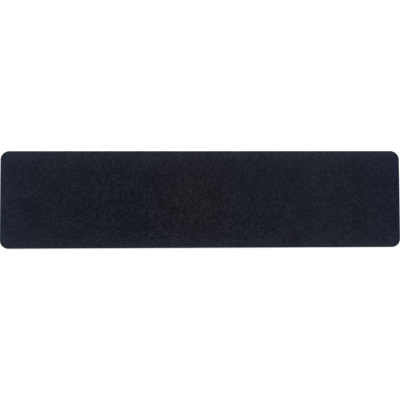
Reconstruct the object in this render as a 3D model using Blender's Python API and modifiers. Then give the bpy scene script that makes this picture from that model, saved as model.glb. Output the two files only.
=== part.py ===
"""A pre-cut anti-slip tape strip for a stair tread, ready to lay.

The strip is one bonded laminate that can't be taken apart: a coat of adhesive, a plastic film
over it, and on top a coat of mineral grit set in resin. One stroke of a cutting die gives it
its outline, a long rectangle with rounded corners. The die comes down on the grit face, so
the grit coat is rolled over a little all round, and the edge of the adhesive face stays sharp.

Metres, +Z up. The origin is the middle of the adhesive face, which lies flat at z = 0.
+X runs along the strip and +Y runs across it.
"""

import math

import bmesh
import bpy

# Driving dimensions of the cut outline
STRIP_LENGTH = 0.610
STRIP_WIDTH = 0.148
CORNER_RADIUS = 0.0135

# Thickness of each coat of the laminate, from the adhesive face up
ADHESIVE_THICKNESS = 0.00010
FILM_THICKNESS = 0.00015
GRIT_COAT_THICKNESS = 0.00055

# Radius that the die rolls onto the upper edge of the grit coat
EDGE_ROLL_RADIUS = 0.00030

# How finely the round stretches are cut into facets, and the bevel profile of a true arc
CORNER_SEGMENTS = 24
EDGE_ROLL_SEGMENTS = 4
ARC_PROFILE = 0.5

# Edges that turn more than this stay sharp when the faces are shaded smooth
SHARP_EDGE_DEG = 30.0

# A face whose normal has more than this share of +Z or -Z lies flat
FLAT_FACE_NORMAL_Z = 0.5

# Finish of the grit face, as linear red, green and blue
GRIT_COLOR = (0.0130, 0.0148, 0.0219)
GRIT_ROUGHNESS = 0.75

# Points closer than this are the same point of the outline
WELD_DISTANCE = 1e-6

STRIP_THICKNESS = ADHESIVE_THICKNESS + FILM_THICKNESS + GRIT_COAT_THICKNESS


def clear_scene():
    """Remove every object that the file opened with."""
    for thing in list(bpy.data.objects):
        bpy.data.objects.remove(thing, do_unlink=True)


def make_collection(name):
    """Return a new collection, linked to the scene."""
    collection = bpy.data.collections.new(name)
    bpy.context.scene.collection.children.link(collection)
    return collection


def make_material(name, color, roughness):
    """Return a plain Principled material with no metal in it."""
    material = bpy.data.materials.new(name)
    material.use_nodes = True
    shader = material.node_tree.nodes["Principled BSDF"]
    shader.inputs["Base Color"].default_value = (*color, 1.0)
    shader.inputs["Roughness"].default_value = roughness
    shader.inputs["Metallic"].default_value = 0.0
    material.diffuse_color = (*color, 1.0)
    return material


def corner_arc(centre_x, centre_y, start_angle):
    """Return the points of one rounded corner, a quarter turn from start_angle."""
    step = math.pi / 2 / CORNER_SEGMENTS
    angles = [start_angle + step * i for i in range(CORNER_SEGMENTS + 1)]
    return [
        (centre_x + CORNER_RADIUS * math.cos(angle), centre_y + CORNER_RADIUS * math.sin(angle))
        for angle in angles
    ]


def die_outline():
    """Return the cut line, anticlockwise from the middle of the right-hand end."""
    x = STRIP_LENGTH / 2 - CORNER_RADIUS
    y = STRIP_WIDTH / 2 - CORNER_RADIUS
    corners = [(x, y), (-x, y), (-x, -y), (x, -y)]
    points = []
    for quarter, (centre_x, centre_y) in enumerate(corners):
        points += corner_arc(centre_x, centre_y, quarter * math.pi / 2)
    return points


def make_blank(name, collection):
    """Return the die outline as a filled flat curve with the laminate's thickness."""
    curve = bpy.data.curves.new(name, "CURVE")
    curve.dimensions = "2D"
    curve.fill_mode = "BOTH"
    curve.extrude = STRIP_THICKNESS / 2
    outline = die_outline()
    spline = curve.splines.new("POLY")
    spline.points.add(len(outline) - 1)
    for point, (x, y) in zip(spline.points, outline):
        point.co = (x, y, 0.0, 1.0)
    spline.use_cyclic_u = True
    blank = bpy.data.objects.new(name, curve)
    blank.location.z = STRIP_THICKNESS / 2
    collection.objects.link(blank)
    return blank


def make_laminate(name, blank, collection):
    """Return the blank as one closed mesh object, with its faces welded to its sides."""
    bpy.context.view_layer.update()
    evaluated = blank.evaluated_get(bpy.context.evaluated_depsgraph_get())
    mesh = bpy.data.meshes.new_from_object(evaluated)
    laminate = bpy.data.objects.new(name, mesh)
    laminate.matrix_world = blank.matrix_world
    bpy.data.objects.remove(blank, do_unlink=True)
    collection.objects.link(laminate)

    cut = bmesh.new()
    cut.from_mesh(mesh)
    bmesh.ops.remove_doubles(cut, verts=cut.verts, dist=WELD_DISTANCE)
    bmesh.ops.recalc_face_normals(cut, faces=cut.faces)
    weight = cut.edges.layers.float.new("bevel_weight_edge")
    for edge in cut.edges:
        on_grit_face = all(vert.co.z > 0 for vert in edge.verts)
        flat_faces = sum(abs(face.normal.z) > FLAT_FACE_NORMAL_Z for face in edge.link_faces)
        edge[weight] = 1.0 if on_grit_face and flat_faces == 1 else 0.0
    cut.to_mesh(mesh)
    cut.free()
    return laminate


def roll_grit_edge(laminate):
    """Round the upper edge over by the radius that the die leaves on the grit coat."""
    roll = laminate.modifiers.new("die roll", "BEVEL")
    roll.limit_method = "WEIGHT"
    roll.offset_type = "OFFSET"
    roll.width = EDGE_ROLL_RADIUS
    roll.segments = EDGE_ROLL_SEGMENTS
    roll.profile = ARC_PROFILE
    roll.use_clamp_overlap = False


def build_anti_slip_strip():
    """Build the strip: cut the blank, weld it, roll its upper edge and finish it."""
    collection = make_collection("anti_slip_tape_strip")
    blank = make_blank("die_cut_blank", collection)
    strip = make_laminate("anti_slip_strip", blank, collection)
    roll_grit_edge(strip)
    strip.data.materials.clear()
    strip.data.materials.append(make_material("black_grit", GRIT_COLOR, GRIT_ROUGHNESS))
    strip.data.shade_smooth()
    strip.data.set_sharp_from_angle(angle=math.radians(SHARP_EDGE_DEG))
    return strip


clear_scene()
build_anti_slip_strip()
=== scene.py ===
"""Looks of a pre-cut anti-slip tape strip for a stair tread.

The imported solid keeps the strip's outline, its film and its adhesive face. Over its top this
script lays the grit coat, which is a bed of resin with mineral grains set in it. The coat is
worked out as one field of heights and cut into lengths that share the points of each cut.

Lengths are in metres. The origin is the middle of the adhesive face, which lies flat at z = 0.
+X runs along the strip, +Y runs across it and +Z points out of the grit.
"""

import logging
import math
from dataclasses import dataclass, field
from enum import Enum

import bpy
import numpy as np
from mathutils import Matrix, Vector


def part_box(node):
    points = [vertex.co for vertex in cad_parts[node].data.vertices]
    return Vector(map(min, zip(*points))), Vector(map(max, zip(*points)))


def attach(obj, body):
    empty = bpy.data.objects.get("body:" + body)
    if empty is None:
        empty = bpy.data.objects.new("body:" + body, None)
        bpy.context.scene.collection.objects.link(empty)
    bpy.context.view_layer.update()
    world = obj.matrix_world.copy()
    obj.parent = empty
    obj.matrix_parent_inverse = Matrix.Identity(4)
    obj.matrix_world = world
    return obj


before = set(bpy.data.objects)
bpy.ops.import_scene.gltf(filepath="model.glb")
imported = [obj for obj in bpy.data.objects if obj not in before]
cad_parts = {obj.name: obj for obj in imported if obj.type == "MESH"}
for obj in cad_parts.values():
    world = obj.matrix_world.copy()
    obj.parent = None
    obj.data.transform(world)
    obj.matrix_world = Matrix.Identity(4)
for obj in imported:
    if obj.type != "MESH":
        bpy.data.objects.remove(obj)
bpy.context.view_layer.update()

LOG = logging.getLogger("anti_slip_strip")
MM = 0.001
BODY = "root"
STRIP_NODE = "anti_slip_strip"

Color = tuple[float, float, float]
Point = tuple[float, float, float]
# What a shader's input takes: a socket to link to it, or its own number or numbers
Feed = bpy.types.NodeSocket | float | tuple[float, ...]


class Draw(Enum):
    """The random draws, each with a seed of its own."""

    PLAN = 11
    GRAIN = 23
    CLUMP = 41
    WEB = 59


class Side(Enum):
    """The cut edges of the strip, each with the axis that it stands across and its sign."""

    LEFT = ("X", -1.0)
    RIGHT = ("X", 1.0)
    NEAR = ("Y", -1.0)
    FAR = ("Y", 1.0)


class MapBand(Enum):
    """Heights in a piece's square map that part its foot, its cut sides and its surface."""

    FOOT = 0.02
    WALL_LOW = 0.025
    WALL_HIGH = 0.04
    SURFACE = 0.045


@dataclass(frozen=True)
class StripSizes:
    """The strip's sizes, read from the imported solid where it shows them.

    Attributes:
        half_length: Half of the size along the strip.
        half_width: Half of the size across it.
        top: Height of the flat top face.
        corner_radius: Radius of the round corners, seen from above.
        edge_roll: Radius of the upper edge.
        adhesive: Thickness of the coat of adhesive.
        film: Thickness of the plastic film over the adhesive.
    """

    half_length: float
    half_width: float
    top: float
    corner_radius: float
    edge_roll: float
    adhesive: float = 0.10 * MM
    film: float = 0.15 * MM

    def reach_to(self, side: Side) -> float:
        """Return how far the edge on that side stands from the middle."""
        axis, _ = side.value
        return self.half_length if axis == "X" else self.half_width

    @classmethod
    def from_solid(cls, node: str) -> "StripSizes":
        """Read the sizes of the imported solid.

        The corner radius is how far the straight end stops short of the long side, and the
        radius of the rolled edge is how far the upright side stops short of the top.

        Args:
            node: The name of the strip's node.

        Returns:
            The sizes in metres.
        """
        low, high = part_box(node)
        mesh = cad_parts[node].data
        points = np.empty(len(mesh.vertices) * 3, np.float32)
        mesh.vertices.foreach_get("co", points)
        points = points.reshape(-1, 3).astype(float)
        on_face = 0.001 * MM
        end = points[points[:, 0] > high.x - on_face]
        side = points[points[:, 1] > high.y - on_face]
        return cls(
            half_length=(high.x - low.x) / 2,
            half_width=(high.y - low.y) / 2,
            top=high.z,
            corner_radius=high.y - end[:, 1].max(),
            edge_roll=high.z - side[:, 2].max(),
        )


class Wiring:
    """A node tree that is being wired."""

    def __init__(self, tree: bpy.types.NodeTree) -> None:
        """Start on an empty tree.

        Args:
            tree: The node tree of a material, a world or a group.
        """
        self.tree = tree
        self.tree.nodes.clear()

    def add(
        self,
        kind: str,
        settings: dict[str, str | bpy.types.NodeTree] | None = None,
        **sockets: Feed,
    ) -> bpy.types.Node:
        """Add a node, and set or link its inputs.

        Args:
            kind: The node's type name.
            settings: Properties of the node, such as its operation.
            sockets: Input name, with _ for a space, to a socket to link or a value to set.

        Returns:
            The new node.
        """
        node = self.tree.nodes.new(kind)
        for name, value in (settings or {}).items():
            setattr(node, name, value)
        for name, value in sockets.items():
            self.feed(node.inputs[name.replace("_", " ")], value)
        return node

    def feed(self, socket: bpy.types.NodeSocket, value: Feed) -> None:
        """Give an input its value.

        Args:
            socket: The input.
            value: A socket to link to it, or the value itself.
        """
        if isinstance(value, bpy.types.NodeSocket):
            self.tree.links.new(value, socket)
        else:
            socket.default_value = value

    def math(self, operation: str, *values: Feed) -> bpy.types.NodeSocket:
        """Work out a number.

        Args:
            operation: The operation of a Math node.
            values: A socket or a number for each of its inputs.

        Returns:
            The node's result.
        """
        node = self.add("ShaderNodeMath", {"operation": operation})
        for socket, value in zip(node.inputs, values):
            self.feed(socket, value)
        return node.outputs[0]

    def vector(self, operation: str, *values: Feed) -> bpy.types.NodeOutputs:
        """Work out a vector or a dot product.

        Args:
            operation: The operation of a Vector Math node.
            values: A socket or a vector for each of its inputs.

        Returns:
            The node's outputs, Vector and Value.
        """
        node = self.add("ShaderNodeVectorMath", {"operation": operation})
        for socket, value in zip(node.inputs, values):
            self.feed(socket, value)
        return node.outputs

    def scaled(self, color: Feed, factor: Feed) -> bpy.types.NodeSocket:
        """Multiply a colour or vector by one number.

        Args:
            color: A socket, or three numbers.
            factor: A socket or a number.

        Returns:
            The product.
        """
        node = self.add("ShaderNodeVectorMath", {"operation": "SCALE"}, Scale=factor)
        self.feed(node.inputs[0], color)
        return node.outputs[0]

    def tinted(self, color: Feed, tint: Color, share: Feed) -> bpy.types.NodeSocket:
        """Add a share of a tint to a colour.

        Args:
            color: A socket, or three numbers.
            tint: Red, green and blue, which may be below 0.
            share: A socket or a number.

        Returns:
            The tinted colour.
        """
        return self.vector("ADD", color, self.scaled(tint, share))["Vector"]

    def mixed(self, share: Feed, first: Feed, second: Feed) -> bpy.types.NodeSocket:
        """Mix two colours.

        A Mix node repeats its sockets' names for each type of data, so the ones for colours
        are picked by their number.

        Args:
            share: How much of the second is used, as a socket or a number.
            first: A colour's socket or its four numbers.
            second: A colour's socket or its four numbers.

        Returns:
            The mixed colour.
        """
        node = self.add("ShaderNodeMix", {"data_type": "RGBA"})
        factor, first_color, second_color = node.inputs[0], node.inputs[6], node.inputs[7]
        self.feed(factor, share)
        self.feed(first_color, first)
        self.feed(second_color, second)
        return node.outputs[2]

    def between(self, share: object, low: float, high: float) -> bpy.types.NodeSocket:
        """Turn a share from 0 to 1 into a number from low to high.

        Args:
            share: The share's socket.
            low: The result at 0.
            high: The result at 1.

        Returns:
            The number's socket.
        """
        node = self.add("ShaderNodeMapRange", Value=share, To_Min=low, To_Max=high)
        return node.outputs["Result"]

    def place(self) -> bpy.types.NodeSocket:
        """Return the Object coordinates, which are the strip's own metres."""
        return self.add("ShaderNodeTexCoord").outputs["Object"]

    def studio_white(self) -> bpy.types.NodeSocket:
        """Tell the rays that show the backdrop from those that light the strip.

        Returns:
            1 for what the camera sees, also mirrored or through glass, and 0 for the rest.
        """
        rays = self.add("ShaderNodeLightPath").outputs
        seen = self.math("MAXIMUM", rays["Is Camera Ray"], rays["Is Glossy Ray"])
        return self.math("MAXIMUM", seen, rays["Is Transmission Ray"])


@dataclass(frozen=True)
class GroupSocket:
    """One named input or output of a node group, with an input's value when nothing feeds it."""

    name: str
    kind: str = "NodeSocketFloat"
    default: float | None = None


class ShaderGroup:
    """A node group that the finishes share. It is built once."""

    name = "group"
    inputs: tuple[GroupSocket, ...] = ()
    outputs: tuple[GroupSocket, ...] = ()

    @classmethod
    def place_in(cls, wiring: Wiring, **sockets: Feed) -> bpy.types.NodeOutputs:
        """Put the group into a material with values of its own.

        Args:
            wiring: The material's tree.
            sockets: Input name, with _ for a space, to a socket to link or a value to set.

        Returns:
            The group's outputs.
        """
        tree = bpy.data.node_groups.get(cls.name) or cls._build()
        return wiring.add("ShaderNodeGroup", {"node_tree": tree}, **sockets).outputs

    @classmethod
    def _build(cls) -> bpy.types.NodeTree:
        """Make the group's sockets and wire it.

        Returns:
            The group's tree.
        """
        tree = bpy.data.node_groups.new(cls.name, "ShaderNodeTree")
        for sockets, side in ((cls.inputs, "INPUT"), (cls.outputs, "OUTPUT")):
            for socket in sockets:
                made = tree.interface.new_socket(socket.name, in_out=side, socket_type=socket.kind)
                if socket.default is not None:
                    made.default_value = socket.default
        wiring = Wiring(tree)
        given = wiring.add("NodeGroupInput").outputs
        asked = wiring.add("NodeGroupOutput").inputs
        for name, value in cls.wire(wiring, given).items():
            wiring.feed(asked[name], value)
        return tree

    @classmethod
    def wire(
        cls, wiring: Wiring, given: bpy.types.NodeOutputs
    ) -> dict[str, bpy.types.NodeSocket]:
        """Wire the group.

        Args:
            wiring: The group's tree.
            given: The group's inputs, by name.

        Returns:
            A socket for each of the group's outputs, by name.
        """
        raise NotImplementedError


class GrainSpeckle(ShaderGroup):
    """Uneven tone, gloss and tilt from one grain to the next."""

    name = "grain_speckle"
    inputs = (
        GroupSocket("Vector", "NodeSocketVector"),
        GroupSocket("Grain Size", default=0.45 * MM),
        GroupSocket("Darkest", default=0.8),
        GroupSocket("Spread", default=1.0),
        GroupSocket("Rarity", default=4.0),
        GroupSocket("Tilt", default=0.5),
    )
    outputs = (GroupSocket("Tone"), GroupSocket("Gloss"), GroupSocket("Height"))

    @classmethod
    def wire(
        cls, wiring: Wiring, given: bpy.types.NodeOutputs
    ) -> dict[str, bpy.types.NodeSocket]:
        """Wire the grains.

        Each grain is a cell with three random numbers from 0 to 1. Its tone is Darkest plus
        Spread times the first to the power of Rarity, so that pale grains are few. Its gloss
        is the second. Its height is a plane that leans in a direction of the grain's own,
        which is Tilt times the dot product of the way from the cell's middle and the three
        numbers, each less a half.

        Args:
            wiring: The group's tree.
            given: The group's inputs, by name.

        Returns:
            The tone, the gloss from 0 to 1, and the height in metres.
        """
        scale = wiring.math("DIVIDE", 1.0, given["Grain Size"])
        cells = wiring.add("ShaderNodeTexVoronoi", Vector=given["Vector"], Scale=scale).outputs
        draws = wiring.add("ShaderNodeSeparateColor", Color=cells["Color"]).outputs
        pale = wiring.math("POWER", draws["Red"], given["Rarity"])
        way = wiring.vector("SUBTRACT", given["Vector"], cells["Position"])["Vector"]
        lean = wiring.vector("SUBTRACT", cells["Color"], (0.5, 0.5, 0.5))["Vector"]
        plane = wiring.vector("DOT_PRODUCT", way, lean)["Value"]
        return {
            "Tone": wiring.math("MULTIPLY_ADD", pale, given["Spread"], given["Darkest"]),
            "Gloss": draws["Green"],
            "Height": wiring.math("MULTIPLY", plane, given["Tilt"]),
        }


class CoatMottle(ShaderGroup):
    """Slow change of tone where a coat lies thicker or thinner."""

    name = "coat_mottle"
    inputs = (
        GroupSocket("Vector", "NodeSocketVector"),
        GroupSocket("Size", default=2.0 * MM),
        GroupSocket("Strength", default=0.2),
    )
    outputs = (GroupSocket("Tone"),)

    @classmethod
    def wire(
        cls, wiring: Wiring, given: bpy.types.NodeOutputs
    ) -> dict[str, bpy.types.NodeSocket]:
        """Wire the mottle, whose tone is 1 plus Strength times a noise from -1 to 1.

        Args:
            wiring: The group's tree.
            given: The group's inputs, by name.

        Returns:
            The tone.
        """
        scale = wiring.math("DIVIDE", 1.0, given["Size"])
        noise = wiring.add(
            "ShaderNodeTexNoise", Vector=given["Vector"], Scale=scale, Detail=1.0
        ).outputs["Fac"]
        swing = wiring.math("MULTIPLY_ADD", noise, 2.0, -1.0)
        return {"Tone": wiring.math("MULTIPLY_ADD", swing, given["Strength"], 1.0)}


class EdgeFade(ShaderGroup):
    """How near a point lies to a cut edge: 1 on the edge, and 0 well inside."""

    name = "edge_fade"
    inputs = (GroupSocket("Depth"), GroupSocket("Reach", default=12.0 * MM))
    outputs = (GroupSocket("Mask"),)

    @classmethod
    def wire(
        cls, wiring: Wiring, given: bpy.types.NodeOutputs
    ) -> dict[str, bpy.types.NodeSocket]:
        """Wire the fade, which is e to the power of minus Depth over Reach.

        Args:
            wiring: The group's tree.
            given: The group's inputs, by name.

        Returns:
            The mask.
        """
        turns = wiring.math("DIVIDE", given["Depth"], given["Reach"])
        return {"Mask": wiring.math("EXPONENT", wiring.math("MULTIPLY", turns, -1.0))}


@dataclass(frozen=True)
class CoatTone:
    """A stretch of a coat that is paler, darker or of another tint than the rest."""

    tint: Color

    def mask(
        self, wiring: Wiring, place: bpy.types.NodeSocket, sizes: StripSizes
    ) -> bpy.types.NodeSocket:
        """Return where the stretch lies.

        Args:
            wiring: The material's tree.
            place: The Object coordinates.
            sizes: The strip's sizes.

        Returns:
            A mask from 0 outside it to 1 in its middle.
        """
        raise NotImplementedError

    def lay(
        self,
        wiring: Wiring,
        place: bpy.types.NodeSocket,
        sizes: StripSizes,
        color: Feed,
    ) -> bpy.types.NodeSocket:
        """Add the tint to the coat's colour where the stretch lies.

        Args:
            wiring: The material's tree.
            place: The Object coordinates.
            sizes: The strip's sizes.
            color: The coat's colour, as a socket or three numbers.

        Returns:
            The tinted colour.
        """
        return wiring.tinted(color, self.tint, self.mask(wiring, place, sizes))


@dataclass(frozen=True)
class EdgeTone(CoatTone):
    """A tone along one cut edge, which fades with the depth inside it."""

    side: Side
    reach: float

    def mask(
        self, wiring: Wiring, place: bpy.types.NodeSocket, sizes: StripSizes
    ) -> bpy.types.NodeSocket:
        """Return 1 on the edge and less and less inside it.

        Args:
            wiring: The material's tree.
            place: The Object coordinates.
            sizes: The strip's sizes.

        Returns:
            The mask.
        """
        axis, sign = self.side.value
        across = wiring.add("ShaderNodeSeparateXYZ", Vector=place).outputs[axis]
        depth = wiring.math("MULTIPLY_ADD", across, -sign, sizes.reach_to(self.side))
        return EdgeFade.place_in(wiring, Depth=depth, Reach=self.reach)["Mask"]


@dataclass(frozen=True)
class PatchTone(CoatTone):
    """A tone in a soft oval, given by its middle and its reach along and across the strip."""

    middle: tuple[float, float]
    reach: tuple[float, float]

    def mask(
        self, wiring: Wiring, place: bpy.types.NodeSocket, sizes: StripSizes
    ) -> bpy.types.NodeSocket:
        """Return e to the power of minus the squares of the ways from the middle in reaches.

        Args:
            wiring: The material's tree.
            place: The Object coordinates.
            sizes: The strip's sizes, which this tone doesn't need.

        Returns:
            The mask.
        """
        along, across = self.reach
        away = wiring.vector("SUBTRACT", place, (*self.middle, 0.0))["Vector"]
        turns = wiring.vector("MULTIPLY", away, (1.0 / along, 1.0 / across, 0.0))["Vector"]
        squares = wiring.vector("DOT_PRODUCT", turns, turns)["Value"]
        return wiring.math("EXPONENT", wiring.math("MULTIPLY", squares, -1.0))


@dataclass(frozen=True)
class GritFinish:
    """Mineral grains in black resin: dull and near black, with paler grains among them, the few
    palest of which are painted glints.

    Attributes:
        name: The material's name.
        resin: The colour where the speckle is 1.
        grain: What the colour gains for each 1 that the speckle gains.
        tones: The stretches of the coat that differ a little from the rest, with a painted sheen
            along its edges.
        grain_size: How far apart the grains lie.
        darkest_grain: Speckle of the darkest grain.
        grain_spread: What the speckle of the palest grain has over that of the darkest.
        painted_glint_rarity: The power that makes pale grains few, so that the palest few stand as
            painted glints.
        grain_tilt: How steeply the grains' faces lean.
        painted_hollow_shade: What the speckle is multiplied by in the hollows between grains, a
            painted shade.
        painted_peak_highlight: What it is multiplied by on the tallest grains, a painted
            highlight.
        clump_size: Size of the mottle made by a few grains together.
        clump_strength: How far that mottle goes up and down.
        web_size: Size of the slow mottle along the web.
        web_strength: How far that mottle goes up and down.
        dullest: Roughness of the dullest grain.
        glossiest: Roughness of the glossiest grain.
        specular_level: Level of the coat's mirror reflection.
    """

    name: str = "black_grit_coat"
    resin: Color = (0.0103, 0.0127, 0.0205)
    grain: Color = (0.0084, 0.0090, 0.0114)
    tones: tuple[CoatTone, ...] = (
        # Painted sheen: paler along both long sides, and bluer towards the ends
        EdgeTone((0.012, 0.014, 0.020), Side.FAR, 12.0 * MM),
        EdgeTone((0.009, 0.012, 0.016), Side.NEAR, 12.0 * MM),
        EdgeTone((0.005, 0.008, 0.018), Side.LEFT, 30.0 * MM),
        EdgeTone((0.001, 0.001, 0.009), Side.RIGHT, 30.0 * MM),
        # Warmer round the middle, with an olive patch in it
        PatchTone((0.002, -0.001, -0.002), (-15.0 * MM, 0.0), (80.0 * MM, 200.0 * MM)),
        PatchTone((0.0, 0.001, -0.002), (-5.0 * MM, -5.0 * MM), (30.0 * MM, 25.0 * MM)),
        # Darker to the left of the middle and paler to the right
        PatchTone((-0.002, -0.002, -0.003), (-115.0 * MM, 0.0), (65.0 * MM, 80.0 * MM)),
        PatchTone((0.002, 0.002, 0.003), (185.0 * MM, 0.0), (45.0 * MM, 80.0 * MM)),
        # Two small stains by the near side, one brown and one with little blue
        PatchTone((0.005, 0.002, 0.001), (-145.0 * MM, -52.0 * MM), (6.0 * MM, 4.0 * MM)),
        PatchTone((-0.001, -0.005, -0.008), (140.0 * MM, -57.0 * MM), (8.0 * MM, 9.0 * MM)),
    )
    grain_size: float = 0.45 * MM
    darkest_grain: float = 0.84
    grain_spread: float = 2.8
    painted_glint_rarity: float = 16.0
    grain_tilt: float = 1.2
    painted_hollow_shade: float = 0.6
    painted_peak_highlight: float = 1.4
    clump_size: float = 3.9 * MM
    clump_strength: float = 1.54
    web_size: float = 32.0 * MM
    web_strength: float = 0.45
    dullest: float = 0.95
    glossiest: float = 0.55
    specular_level: float = 0.05

    def material(
        self, sizes: StripSizes, hollow: float, tallest: float
    ) -> bpy.types.Material:
        """Make the finish's material.

        The colour is that of the resin with its tones, among them a painted sheen along the edges,
        plus the grain's colour times the speckle less 1. The speckle follows the grains, whose
        few palest ones are painted glints, the relief, which paints shade into the hollows and a
        highlight onto the tallest grains, the clumps and the web.

        Args:
            sizes: The strip's sizes, which place the tones along its edges.
            hollow: Height of the lowest hollow between grains.
            tallest: Height of the tallest grains.

        Returns:
            The material.
        """
        material = bpy.data.materials.new(self.name)
        material.use_nodes = True
        wiring = Wiring(material.node_tree)
        place = wiring.place()
        # Grain tone differs at random, and the few palest grains are painted glints
        grain = GrainSpeckle.place_in(
            wiring,
            Vector=place,
            Grain_Size=self.grain_size,
            Darkest=self.darkest_grain,
            Spread=self.grain_spread,
            Rarity=self.painted_glint_rarity,
            Tilt=self.grain_tilt,
        )
        height = wiring.add("ShaderNodeSeparateXYZ", Vector=place).outputs["Z"]
        # Painted shade in the hollows between grains and a painted highlight on the tallest ones
        relief = wiring.add(
            "ShaderNodeMapRange",
            Value=height,
            From_Min=hollow,
            From_Max=tallest,
            To_Min=self.painted_hollow_shade,
            To_Max=self.painted_peak_highlight,
        ).outputs["Result"]
        speckle = wiring.math("MULTIPLY", grain["Tone"], relief)
        for size, strength in (
            (self.clump_size, self.clump_strength),
            (self.web_size, self.web_strength),
        ):
            mottle = CoatMottle.place_in(wiring, Vector=place, Size=size, Strength=strength)
            speckle = wiring.math("MULTIPLY", speckle, mottle["Tone"])
        swing = wiring.math("SUBTRACT", wiring.math("MAXIMUM", speckle, 0.0), 1.0)
        color = wiring.tinted(self.resin, self.grain, swing)
        # The tones include the painted sheen along the edges
        for tone in self.tones:
            color = tone.lay(wiring, place, sizes, color)
        facets = wiring.add("ShaderNodeBump", Height=grain["Height"], Distance=1.0)
        shader = wiring.add(
            "ShaderNodeBsdfPrincipled",
            Base_Color=color,
            Roughness=wiring.between(grain["Gloss"], self.glossiest, self.dullest),
            Specular_IOR_Level=self.specular_level,
            Normal=facets.outputs["Normal"],
        )
        wiring.add("ShaderNodeOutputMaterial", Surface=shader.outputs["BSDF"])
        return material


@dataclass(frozen=True)
class LaminateFinish:
    """The two coats under the grit: a satin black film over a tacky, glossy black adhesive.

    Attributes:
        name: The material's name.
        film: The film's colour.
        adhesive: The adhesive's colour.
        squeezed_edge: What that colour gains at the edge, where the die squeezes adhesive out.
        squeezed_reach: How far the squeezed edge reaches inwards.
        film_roughness: The film's roughness.
        wettest: The adhesive's roughness where it is glossiest.
        driest: The adhesive's roughness where it is dullest.
        bubble_size: How far apart the bubbles in the adhesive lie.
        darkest_bubble: Tone of the darkest bubble.
        bubble_spread: What the tone of the palest bubble has over that of the darkest.
        bubble_rarity: The power that makes pale bubbles few.
        streak_size: Size of the coating streaks on each axis.
        streak_strength: How far the streaks' tone goes up and down.
        cloud_size: Size of the cloudy stretches.
        cloud_strength: How far the clouds' tone goes up and down.
        peel_size: Size of the ripple in the coats' surface.
        peel_height: Height of that ripple.
    """

    name: str = "film_and_adhesive"
    film: Color = (0.0110, 0.0112, 0.0120)
    adhesive: Color = (0.0200, 0.0194, 0.0188)
    squeezed_edge: Color = (0.012, 0.012, 0.012)
    squeezed_reach: float = 2.0 * MM
    film_roughness: float = 0.45
    wettest: float = 0.18
    driest: float = 0.34
    bubble_size: float = 1.5 * MM
    darkest_bubble: float = 0.85
    bubble_spread: float = 0.5
    bubble_rarity: float = 2.5
    streak_size: Point = (60.0 * MM, 3.0 * MM, 3.0 * MM)
    streak_strength: float = 0.9
    cloud_size: float = 26.0 * MM
    cloud_strength: float = 0.6
    peel_size: float = 1.8 * MM
    peel_height: float = 0.03 * MM

    def material(self, sizes: StripSizes) -> bpy.types.Material:
        """Make the finish's material.

        Above the adhesive the colour is the film's. Below, it is the adhesive's with its
        squeezed edge, times the tones of the streaks, the clouds and the bubbles.

        Args:
            sizes: The strip's sizes, which part the adhesive from the film above it.

        Returns:
            The material.
        """
        material = bpy.data.materials.new(self.name)
        material.use_nodes = True
        wiring = Wiring(material.node_tree)
        place = wiring.place()
        height = wiring.add("ShaderNodeSeparateXYZ", Vector=place).outputs["Z"]
        on_film = wiring.math("GREATER_THAN", height, sizes.adhesive)
        drawn_out = wiring.vector("DIVIDE", place, self.streak_size)["Vector"]
        streaks = CoatMottle.place_in(
            wiring, Vector=drawn_out, Size=1.0, Strength=self.streak_strength
        )
        clouds = CoatMottle.place_in(
            wiring, Vector=place, Size=self.cloud_size, Strength=self.cloud_strength
        )
        bubbles = GrainSpeckle.place_in(
            wiring,
            Vector=place,
            Grain_Size=self.bubble_size,
            Darkest=self.darkest_bubble,
            Spread=self.bubble_spread,
            Rarity=self.bubble_rarity,
        )
        peel = CoatMottle.place_in(wiring, Vector=place, Size=self.peel_size, Strength=1.0)
        adhesive = self.adhesive
        for side in Side:
            squeezed = EdgeTone(self.squeezed_edge, side, self.squeezed_reach)
            adhesive = squeezed.lay(wiring, place, sizes, adhesive)
        tone = wiring.math("MULTIPLY", streaks["Tone"], clouds["Tone"])
        tone = wiring.math("MULTIPLY", tone, bubbles["Tone"])
        wet = wiring.between(bubbles["Gloss"], self.wettest, self.driest)
        dry = wiring.math("MULTIPLY", on_film, self.film_roughness)
        bump = wiring.add("ShaderNodeBump", Height=peel["Tone"], Distance=self.peel_height)
        shader = wiring.add(
            "ShaderNodeBsdfPrincipled",
            Base_Color=wiring.mixed(on_film, wiring.scaled(adhesive, tone), (*self.film, 1.0)),
            Roughness=wiring.math("MAXIMUM", wet, dry),
            Normal=bump.outputs["Normal"],
        )
        wiring.add("ShaderNodeOutputMaterial", Surface=shader.outputs["BSDF"])
        return material


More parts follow.
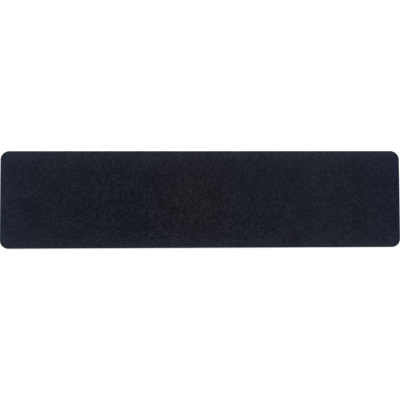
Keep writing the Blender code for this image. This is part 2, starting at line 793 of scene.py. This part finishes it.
@dataclass(frozen=True)
class FloorFinish:
    """A pale matt floor that looks white, and keeps the strip's shadow.

    Attributes:
        name: The material's name.
        color: The floor's colour.
        lift_at_strip: Strength of its glow near the strip.
        lift_far_off: Strength of its glow where the lamps have faded.
        lift_from: Distance from the strip's middle at which the glow starts to grow.
        lift_to: Distance at which it is full.
    """

    name: str = "pale_floor"
    color: Color = (0.60, 0.60, 0.60)
    lift_at_strip: float = 0.60
    lift_far_off: float = 0.95
    lift_from: float = 0.5
    lift_to: float = 2.5

    def material(self) -> bpy.types.Material:
        """Make the floor's material, which is clear when it is seen from below.

        Returns:
            The material. Its glow grows with the distance from the strip, as the lamps fade.
        """
        material = bpy.data.materials.new(self.name)
        material.use_nodes = True
        wiring = Wiring(material.node_tree)
        distance = wiring.vector("LENGTH", wiring.place())["Value"]
        lift = wiring.add(
            "ShaderNodeMapRange",
            Value=distance,
            From_Min=self.lift_from,
            From_Max=self.lift_to,
            To_Min=self.lift_at_strip,
            To_Max=self.lift_far_off,
        ).outputs["Result"]
        matt = wiring.add("ShaderNodeBsdfDiffuse", Color=(*self.color, 1.0)).outputs[0]
        glow = wiring.add(
            "ShaderNodeEmission", Strength=wiring.math("MULTIPLY", lift, wiring.studio_white())
        ).outputs[0]
        clear = wiring.add("ShaderNodeBsdfTransparent").outputs[0]
        lit, seen = wiring.add("ShaderNodeAddShader"), wiring.add("ShaderNodeMixShader")
        wiring.feed(lit.inputs[0], matt)
        wiring.feed(lit.inputs[1], glow)
        wiring.feed(seen.inputs[0], wiring.add("ShaderNodeNewGeometry").outputs["Backfacing"])
        wiring.feed(seen.inputs[1], lit.outputs[0])
        wiring.feed(seen.inputs[2], clear)
        wiring.add("ShaderNodeOutputMaterial", Surface=seen.outputs[0])
        return material


@dataclass(frozen=True)
class GritCoat:
    """The resin bed with its grains, laid over the top and the rolled edge of the strip.

    Attributes:
        sizes: The strip's sizes.
        finish: The coat's finish.
        pitch: How far apart the points of the surface lie.
        jitter: How far a point may move from its place, in pitches.
        proud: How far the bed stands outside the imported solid.
        valley: Height of the lowest hollows over the bed.
        tallest: Height of a full grain over the hollows.
        grain_skew: The power that makes tall grains few.
        rim: Distance from the cut edge over which the relief rises to its full height.
        clump_size: Size of the clumps in which grains stand higher or lower.
        clump_share: How much higher or lower they stand, as a share.
        web_size: Size of the slow swell along the web.
        web_height: Half of the swell's rise.
        lengths: How many pieces the coat is cut into.
        roll_steps: How many faces go over the rolled edge.
    """

    sizes: StripSizes
    finish: GritFinish
    pitch: float = 0.445 * MM
    jitter: float = 0.32
    proud: float = 0.03 * MM
    valley: float = 0.02 * MM
    tallest: float = 0.30 * MM
    grain_skew: float = 1.6
    rim: float = 0.5 * MM
    clump_size: float = 2.5 * MM
    clump_share: float = 0.35
    web_size: float = 40.0 * MM
    web_height: float = 0.03 * MM
    lengths: int = 5
    roll_steps: int = 2

    @property
    def outline(self) -> tuple[float, float, float]:
        """The coat's cut line, seen from above.

        Returns:
            Its half length, half width and corner radius.
        """
        return (
            self.sizes.half_length + self.proud,
            self.sizes.half_width + self.proud,
            self.sizes.corner_radius + self.proud,
        )

    @property
    def roll(self) -> float:
        """The radius of the coat's rolled edge."""
        return self.sizes.edge_roll + self.proud

    def lines(self, half: float) -> np.ndarray:
        """Return where the grid lines cross one axis.

        The lines lie close together over the rolled edge, at equal steps of its quarter turn,
        and one pitch apart between the two rolls.

        Args:
            half: Half of the coat's size on that axis.

        Returns:
            The places, in rising order.
        """
        turn = np.linspace(0.0, math.pi / 2, self.roll_steps + 1)
        rolled = self.roll * (1.0 - np.cos(turn))
        flat = half - self.roll
        count = round(2 * flat / self.pitch)
        between = np.linspace(-flat, flat, count + 1)[1:-1]
        return np.concatenate([rolled - half, between, (half - rolled)[::-1]])

    def plan(self) -> tuple[np.ndarray, np.ndarray]:
        """Return x and y of the coat's points.

        A square grid is bent to the round corners. In a corner's own square, with a and b from
        0 at its inner sides to 1 at its outer ones, a point goes to a times the root of
        1 - b*b/2, and b times the root of 1 - a*a/2, which turns the square into a quarter
        circle. Points inside the rim then move by a random share of the pitch.

        Returns:
            Two arrays with a row for each line across the strip.
        """
        half_length, half_width, radius = self.outline
        x, y = np.meshgrid(self.lines(half_length), self.lines(half_width), indexing="ij")
        centre_x, centre_y = half_length - radius, half_width - radius
        a = np.clip((np.abs(x) - centre_x) / radius, 0.0, 1.0)
        b = np.clip((np.abs(y) - centre_y) / radius, 0.0, 1.0)
        bent_x = np.sign(x) * (centre_x + radius * a * np.sqrt(1.0 - b * b / 2))
        bent_y = np.sign(y) * (centre_y + radius * b * np.sqrt(1.0 - a * a / 2))
        in_corner = (a > 0) & (b > 0)
        x, y = np.where(in_corner, bent_x, x), np.where(in_corner, bent_y, y)
        draw = np.random.default_rng(Draw.PLAN.value)
        step = self.jitter * self.pitch * self.inside_rim(self.depth(x, y))
        x = x + step * draw.uniform(-1.0, 1.0, x.shape)
        y = y + step * draw.uniform(-1.0, 1.0, y.shape)
        return x, y

    def depth(self, x: np.ndarray, y: np.ndarray) -> np.ndarray:
        """Return how far points lie inside the coat's rounded outline.

        From a corner's centre, the way to the outline is the corner radius less the distance
        to the point. Beside a straight edge it is the distance to that edge.

        Args:
            x: Place of each point along the strip.
            y: Place of each point across it.

        Returns:
            The depths, which are never below 0.
        """
        half_length, half_width, radius = self.outline
        past_x = np.abs(x) - (half_length - radius)
        past_y = np.abs(y) - (half_width - radius)
        round_part = np.hypot(np.maximum(past_x, 0.0), np.maximum(past_y, 0.0))
        straight_part = np.minimum(np.maximum(past_x, past_y), 0.0)
        return np.maximum(radius - round_part - straight_part, 0.0)

    def inside_rim(self, depth: np.ndarray) -> np.ndarray:
        """Return the share of the relief that stands: none on the cut edge, all past the rim."""
        return np.clip(depth / self.rim, 0.0, 1.0)

    def bed(self, depth: np.ndarray) -> np.ndarray:
        """Return the height of the resin bed, a quarter circle at the edge and flat inside.

        Out is 1 on the edge and falls to 0 at the roll's radius inside it. The bed drops from
        its flat part by that radius times 1 less the root of 1 - out*out.

        Args:
            depth: How far each point lies inside the edge.

        Returns:
            The heights above the adhesive face.
        """
        out = np.clip(1.0 - depth / self.roll, 0.0, 1.0)
        return self.sizes.top + self.proud - self.roll * (1.0 - np.sqrt(1.0 - out * out))

    def heights(self, x: np.ndarray, y: np.ndarray) -> np.ndarray:
        """Return the height of the coat's surface.

        Each point is the top of a grain or the resin between grains. Its height over the bed is
        a random share to a power, so that few grains are tall, times the local fill of the
        coat, plus a slow swell along the web.

        Args:
            x: Place of each point along the strip.
            y: Place of each point across it.

        Returns:
            The heights above the adhesive face.
        """
        depth = self.depth(x, y)
        draw = np.random.default_rng(Draw.GRAIN.value)
        share = draw.random(x.shape) ** self.grain_skew
        fill = 1.0 + self.clump_share * smooth_noise(x, y, self.clump_size, Draw.CLUMP)
        swell = self.web_height * (1.0 + smooth_noise(x, y, self.web_size, Draw.WEB))
        relief = self.valley + self.tallest * share * fill + swell
        return self.bed(depth) + relief * self.inside_rim(depth)

    def build(self) -> list[bpy.types.Object]:
        """Build the coat as closed lengths that meet along shared points.

        Returns:
            One object for each length, from -X to +X.
        """
        x, y = self.plan()
        top = np.stack([x, y, self.heights(x, y)], axis=-1)
        hollow = self.sizes.top + self.proud + self.valley
        material = self.finish.material(self.sizes, hollow, hollow + self.tallest)
        cuts = np.linspace(0, top.shape[0] - 1, self.lengths + 1).round().astype(int)
        made = []
        for number, (first, last) in enumerate(zip(cuts[:-1], cuts[1:]), start=1):
            piece = self._length(f"grit_coat_{number}", top[first : last + 1])
            piece.data.materials.append(material)
            made.append(piece)
        return made

    def _length(self, name: str, top: np.ndarray) -> bpy.types.Object:
        """Build one length: its surface, the cut sides round it and a flat face below.

        Args:
            name: The piece's name.
            top: The points of its surface, as rows across the strip.

        Returns:
            The piece.
        """
        rows, columns = top.shape[:2]
        index = np.arange(rows * columns).reshape(rows, columns)
        rim = np.concatenate([index[:, 0], index[-1, 1:], index[-2::-1, -1], index[0, -2:0:-1]])
        points = top.reshape(-1, 3)
        foot = points[rim].copy()
        foot[:, 2] = self.sizes.adhesive + self.sizes.film
        foot_index = len(points) + np.arange(len(rim))

        surface = grid_triangles(index)
        walls = np.stack(
            [rim, foot_index, np.roll(foot_index, -1), np.roll(rim, -1)], axis=1
        )
        return mesh_object(
            name,
            np.concatenate([points, foot]),
            [surface, walls, foot_index[None, ::-1]],
            [self._surface_map(points, surface), self._wall_map(len(rim)), self._foot_map(foot)],
        )

    @staticmethod
    def _surface_map(points: np.ndarray, faces: np.ndarray) -> np.ndarray:
        """Map the surface as seen from above onto most of the square.

        Args:
            points: The points of the surface.
            faces: The numbers of each triangle's points.

        Returns:
            The place in the map of each corner of each triangle.
        """
        low, high = points[:, :2].min(axis=0), points[:, :2].max(axis=0)
        flat = (points[faces.ravel(), :2] - low) / (high - low)
        return flat * (1.0, 1.0 - MapBand.SURFACE.value) + (0.0, MapBand.SURFACE.value)

    @staticmethod
    def _wall_map(count: int) -> np.ndarray:
        """Map the cut sides, unrolled, onto a low band of the square.

        Args:
            count: How many faces go round the piece.

        Returns:
            The place in the map of each corner of each face.
        """
        start = np.arange(count) / count
        end = start + 1.0 / count
        high, low = np.full(count, MapBand.WALL_HIGH.value), np.full(count, MapBand.WALL_LOW.value)
        corners = [(start, high), (start, low), (end, low), (end, high)]
        return np.stack([np.stack(corner, axis=1) for corner in corners], axis=1).reshape(-1, 2)

    @staticmethod
    def _foot_map(foot: np.ndarray) -> np.ndarray:
        """Map the flat face below onto the lowest band of the square, in its own point order.

        Args:
            foot: The points round it, in the order of the rim.

        Returns:
            The place in the map of each corner of the face, which runs against the rim.
        """
        low, high = foot[:, :2].min(axis=0), foot[:, :2].max(axis=0)
        return ((foot[:, :2] - low) / (high - low) * (1.0, MapBand.FOOT.value))[::-1]


def smooth_noise(x: np.ndarray, y: np.ndarray, cell: float, draw: Draw) -> np.ndarray:
    """Return a smooth random field from -1 to 1.

    A random value stands on each corner of a square lattice. Between the corners the values
    are mixed by the smooth step of the share of the way across: s*s*(3 - 2*s).

    Args:
        x: Place of each point along the strip.
        y: Place of each point across it.
        cell: Side of the lattice's squares.
        draw: The draw that the corner values come from.

    Returns:
        The field at each point.
    """
    u, v = (x - x.min()) / cell, (y - y.min()) / cell
    i, j = np.floor(u).astype(int), np.floor(v).astype(int)
    corner = np.random.default_rng(draw.value).uniform(-1.0, 1.0, (i.max() + 2, j.max() + 2))
    s, t = u - i, v - j
    s, t = s * s * (3.0 - 2.0 * s), t * t * (3.0 - 2.0 * t)
    left = corner[i, j] * (1.0 - t) + corner[i, j + 1] * t
    right = corner[i + 1, j] * (1.0 - t) + corner[i + 1, j + 1] * t
    return left * (1.0 - s) + right * s


def grid_triangles(index: np.ndarray) -> np.ndarray:
    """Split each square of a grid into two triangles, with the diagonal turned every other one.

    Args:
        index: The number of each point, as rows and columns of the grid.

    Returns:
        The three point numbers of each triangle.
    """
    a, b = index[:-1, :-1].ravel(), index[1:, :-1].ravel()
    c, d = index[1:, 1:].ravel(), index[:-1, 1:].ravel()
    row, column = np.indices((index.shape[0] - 1, index.shape[1] - 1))
    turned = ((row + column) % 2 == 1).ravel()[:, None]
    first = np.where(turned, np.stack([a, b, d], 1), np.stack([a, b, c], 1))
    second = np.where(turned, np.stack([b, c, d], 1), np.stack([a, c, d], 1))
    return np.concatenate([first, second])


def mesh_object(
    name: str, points: np.ndarray, faces: list[np.ndarray], maps: list[np.ndarray]
) -> bpy.types.Object:
    """Put points and faces into a new mesh object.

    Args:
        name: The object's name.
        points: The place of each point.
        faces: Arrays of faces, each with one row of point numbers for each face.
        maps: The place of each face corner in the piece's map, one array for each of faces.

    Returns:
        The object, linked to the scene.
    """
    corners = np.concatenate([block.ravel() for block in faces]).astype(np.int32)
    sides = np.concatenate([np.full(len(block), block.shape[1]) for block in faces])
    starts = np.concatenate([[0], np.cumsum(sides)[:-1]]).astype(np.int32)
    mesh = bpy.data.meshes.new(name)
    mesh.vertices.add(len(points))
    mesh.vertices.foreach_set("co", points.astype(np.float32).ravel())
    mesh.loops.add(len(corners))
    mesh.loops.foreach_set("vertex_index", corners)
    mesh.polygons.add(len(sides))
    mesh.polygons.foreach_set("loop_start", starts)
    layer = mesh.uv_layers.new(name="OFBake")
    layer.data.foreach_set("uv", np.concatenate(maps).astype(np.float32).ravel())
    mesh.update(calc_edges=True)
    mesh.shade_smooth()
    made = bpy.data.objects.new(name, mesh)
    bpy.context.scene.collection.objects.link(made)
    return made


@dataclass(frozen=True)
class AntiSlipStrip:
    """The whole strip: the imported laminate, dressed, with its grit coat laid over it."""

    sizes: StripSizes
    grit: GritFinish = field(default_factory=GritFinish)
    laminate: LaminateFinish = field(default_factory=LaminateFinish)

    def build(self) -> list[bpy.types.Object]:
        """Dress the laminate and lay the coat on the body that carries it.

        Returns:
            The laminate and each length of the coat.
        """
        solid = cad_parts[STRIP_NODE]
        solid.material_slots[0].material = self.laminate.material(self.sizes)
        coat = GritCoat(self.sizes, self.grit).build()
        for piece in coat:
            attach(piece, BODY)
        return [solid, *coat]


@dataclass(frozen=True)
class Lamp:
    """A soft box that lights the strip, with its place and sides in metres and power in watts."""

    name: str
    place: Point
    width: float
    height: float
    power: float

    def build(self) -> bpy.types.Object:
        """Hang the soft box and turn it to the middle of the strip.

        Returns:
            The lamp.
        """
        light = bpy.data.lights.new(self.name, "AREA")
        light.shape = "RECTANGLE"
        light.size = self.width
        light.size_y = self.height
        light.energy = self.power
        lamp = bpy.data.objects.new(self.name, light)
        lamp.location = self.place
        lamp.rotation_euler = (-Vector(self.place)).to_track_quat("-Z", "Y").to_euler()
        bpy.context.scene.collection.objects.link(lamp)
        return lamp


@dataclass(frozen=True)
class Studio:
    """A pale floor, soft boxes and a surround that looks white and is dim as a light.

    Attributes:
        lamps: The soft boxes, with the last one under the floor for views from below.
        floor_side: Side of the square floor.
        floor_gap: How far the floor lies under the adhesive face.
        surround_light: Strength of the surround as a light, where 1 looks white.
        floor_finish: The floor's finish.
    """

    lamps: tuple[Lamp, ...] = (
        Lamp("key_box", (-0.4, 1.7, 0.9), 1.2, 0.8, 54.0),
        Lamp("fill_box", (1.5, -1.0, 0.9), 1.2, 0.8, 23.0),
        Lamp("under_box", (-0.6, -0.9, -1.2), 1.2, 0.8, 30.0),
    )
    floor_side: float = 12.0
    floor_gap: float = 0.2 * MM
    surround_light: float = 0.2
    floor_finish: FloorFinish = field(default_factory=FloorFinish)

    def build(self) -> list[bpy.types.Object]:
        """Build the floor, the surround and the lamps.

        Returns:
            The floor and the lamps.
        """
        floor = self._floor()
        self._surround()
        return [floor, *(lamp.build() for lamp in self.lamps)]

    def _floor(self) -> bpy.types.Object:
        """Lay the floor just under the strip, where it stops no light on its way to the strip.

        Returns:
            The floor.
        """
        half = self.floor_side / 2
        corners = [(-half, -half), (half, -half), (half, half), (-half, half)]
        mesh = bpy.data.meshes.new("studio_floor")
        mesh.from_pydata([(x, y, -self.floor_gap) for x, y in corners], [], [(0, 1, 2, 3)])
        mesh.materials.append(self.floor_finish.material())
        floor = bpy.data.objects.new("studio_floor", mesh)
        floor.visible_diffuse = False
        floor.visible_shadow = False
        bpy.context.scene.collection.objects.link(floor)
        return floor

    def _surround(self) -> None:
        """Make the surround white to look at and dimmer as a light on the strip."""
        world = bpy.data.worlds.new("studio_surround")
        world.use_nodes = True
        wiring = Wiring(world.node_tree)
        strength = wiring.between(wiring.studio_white(), self.surround_light, 1.0)
        white = wiring.add("ShaderNodeBackground", Color=(1.0, 1.0, 1.0, 1.0), Strength=strength)
        wiring.add("ShaderNodeOutputWorld", Surface=white.outputs[0])
        bpy.context.scene.world = world


@dataclass(frozen=True)
class PhotoCamera:
    """The camera of the photograph: above the strip and looking almost straight down.

    Attributes:
        place: Where the camera stands.
        aims_at: The point in the middle of its picture.
        roll_deg: How far it is rolled about the way that it looks, in degrees.
        lens: Its focal length, in millimetres.
    """

    place: Point = (-0.0252, -0.0309, 0.8475)
    aims_at: Point = (-0.0026, -0.0010, 0.0)
    roll_deg: float = -0.195
    lens: float = 50.0

    def build(self) -> list[bpy.types.Object]:
        """Place the camera, with +Y up in the picture but for the roll, and use it.

        Returns:
            The camera, alone in a list.
        """
        data = bpy.data.cameras.new("photo_camera")
        data.lens = self.lens
        camera = bpy.data.objects.new("photo_camera", data)
        look = (Vector(self.aims_at) - Vector(self.place)).normalized()
        level = look.cross(Vector((0.0, 1.0, 0.0))).normalized()
        turn = Matrix.Rotation(math.radians(-self.roll_deg), 3, look)
        right = turn @ level
        axes = Matrix((right, right.cross(look), -look)).transposed()
        camera.matrix_world = Matrix.Translation(self.place) @ axes.to_4x4()
        bpy.context.scene.collection.objects.link(camera)
        bpy.context.scene.camera = camera
        return [camera]


def main() -> None:
    """Build the strip, the studio and the camera in that order, and report each piece."""
    logging.basicConfig(level=logging.INFO, format="%(name)s: %(message)s")
    bpy.context.scene.view_settings.view_transform = "Standard"
    strip = AntiSlipStrip(StripSizes.from_solid(STRIP_NODE))
    for assembly in (strip, Studio(), PhotoCamera()):
        for piece in assembly.build():
            LOG.info("%s has %s", type(assembly).__name__, piece.name)


if __name__ == "__main__":
    main()
